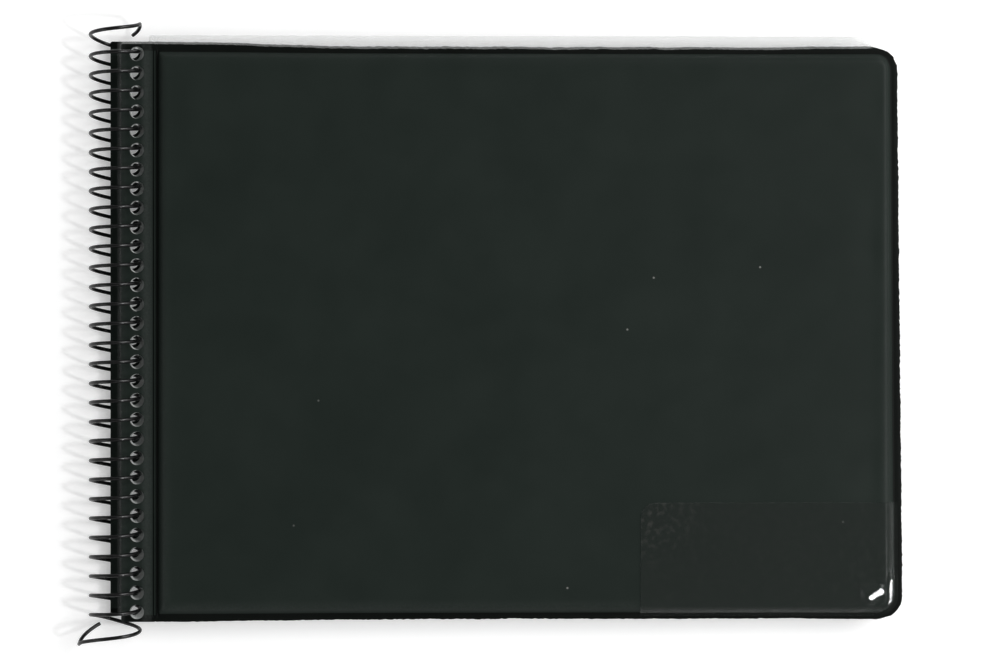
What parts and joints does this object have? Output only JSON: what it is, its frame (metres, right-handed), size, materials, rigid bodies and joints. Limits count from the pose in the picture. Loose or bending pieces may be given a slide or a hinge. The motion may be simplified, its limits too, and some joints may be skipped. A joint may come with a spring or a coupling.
{
  "type": "marching band flip folder",
  "caption": "Pocket-size coil-bound flip folder for marching music: black vinyl covers over stiff board, clear sleeves that turn on a black wire spiral, clear label pocket.",
  "frame": {"origin": "middle of the back cover's resting face", "axes": "+X from the binding to the free edge, +Y to the top edge, +Z from the back cover to the front"},
  "size_m": [0.2177, 0.1645, 0.0141],
  "materials": {
    "black_vinyl": "satin, fine grain",
    "grey_board": "matte",
    "black_wire": "gloss",
    "clear_vinyl": "clear gloss"
  },
  "bodies": {
    "back_panel": {"back_cover_skin": "black_vinyl", "back_cover_board": "grey_board", "back_cover_lining": "black_vinyl"},
    "back_strip": {"back_binding_strip": "black_vinyl"},
    "coil": {"binding_coil": "black_wire"},
    "sleeve_10": {"sleeve_10_front": "clear_vinyl", "sleeve_10_back": "clear_vinyl"},
    "sleeve_09": {"sleeve_09_front": "clear_vinyl", "sleeve_09_back": "clear_vinyl"},
    "sleeve_08": {"sleeve_08_front": "clear_vinyl", "sleeve_08_back": "clear_vinyl"},
    "sleeve_07": {"sleeve_07_front": "clear_vinyl", "sleeve_07_back": "clear_vinyl"},
    "sleeve_06": {"sleeve_06_front": "clear_vinyl", "sleeve_06_back": "clear_vinyl"},
    "sleeve_05": {"sleeve_05_front": "clear_vinyl", "sleeve_05_back": "clear_vinyl"},
    "sleeve_04": {"sleeve_04_front": "clear_vinyl", "sleeve_04_back": "clear_vinyl"},
    "sleeve_03": {"sleeve_03_front": "clear_vinyl", "sleeve_03_back": "clear_vinyl"},
    "sleeve_02": {"sleeve_02_front": "clear_vinyl", "sleeve_02_back": "clear_vinyl"},
    "sleeve_01": {"sleeve_01_front": "clear_vinyl", "sleeve_01_back": "clear_vinyl"},
    "front_strip": {"front_binding_strip": "black_vinyl"},
    "front_panel": {"front_cover_lining": "black_vinyl", "front_cover_board": "grey_board", "front_cover_skin": "black_vinyl", "front_label_pocket": "clear_vinyl"}
  },
  "joints": [
    {"name": "back_crease", "type": "hinge", "parent": "back_panel", "child": "back_strip", "pos_m": [-0.0985, 0, 0.0017], "axis": [0, -1, 0], "range_deg": [0, 90]},
    {"name": "coil_roll", "type": "hinge", "parent": "back_strip", "child": "coil", "pos_m": [-0.10823, 0, 0.0071], "axis": [0, -1, 0], "range_deg": [-5, 5]},
    {"name": "sleeve_10_turn", "type": "hinge", "parent": "back_strip", "child": "sleeve_10", "pos_m": [-0.10823, 0, 0.0071], "axis": [0, -1, 0], "range_deg": [0, 180]},
    {"name": "sleeve_09_turn", "type": "hinge", "parent": "sleeve_10", "child": "sleeve_09", "pos_m": [-0.10823, 0, 0.0071], "axis": [0, -1, 0], "range_deg": [0, 180]},
    {"name": "sleeve_08_turn", "type": "hinge", "parent": "sleeve_09", "child": "sleeve_08", "pos_m": [-0.10823, 0, 0.0071], "axis": [0, -1, 0], "range_deg": [0, 180]},
    {"name": "sleeve_07_turn", "type": "hinge", "parent": "sleeve_08", "child": "sleeve_07", "pos_m": [-0.10823, 0, 0.0071], "axis": [0, -1, 0], "range_deg": [0, 180]},
    {"name": "sleeve_06_turn", "type": "hinge", "parent": "sleeve_07", "child": "sleeve_06", "pos_m": [-0.10823, 0, 0.0071], "axis": [0, -1, 0], "range_deg": [0, 180]},
    {"name": "sleeve_05_turn", "type": "hinge", "parent": "sleeve_06", "child": "sleeve_05", "pos_m": [-0.10823, 0, 0.0071], "axis": [0, -1, 0], "range_deg": [0, 180]},
    {"name": "sleeve_04_turn", "type": "hinge", "parent": "sleeve_05", "child": "sleeve_04", "pos_m": [-0.10823, 0, 0.0071], "axis": [0, -1, 0], "range_deg": [0, 180]},
    {"name": "sleeve_03_turn", "type": "hinge", "parent": "sleeve_04", "child": "sleeve_03", "pos_m": [-0.10823, 0, 0.0071], "axis": [0, -1, 0], "range_deg": [0, 180]},
    {"name": "sleeve_02_turn", "type": "hinge", "parent": "sleeve_03", "child": "sleeve_02", "pos_m": [-0.10823, 0, 0.0071], "axis": [0, -1, 0], "range_deg": [0, 180]},
    {"name": "sleeve_01_turn", "type": "hinge", "parent": "sleeve_02", "child": "sleeve_01", "pos_m": [-0.10823, 0, 0.0071], "axis": [0, -1, 0], "range_deg": [0, 180]},
    {"name": "front_cover_turn", "type": "hinge", "parent": "sleeve_01", "child": "front_strip", "pos_m": [-0.10823, 0, 0.0071], "axis": [0, -1, 0], "range_deg": [0, 180]},
    {"name": "front_crease", "type": "hinge", "parent": "front_strip", "child": "front_panel", "pos_m": [-0.09754, 0, 0.0082], "axis": [0, -1, 0], "range_deg": [0, 90]}
  ]
}
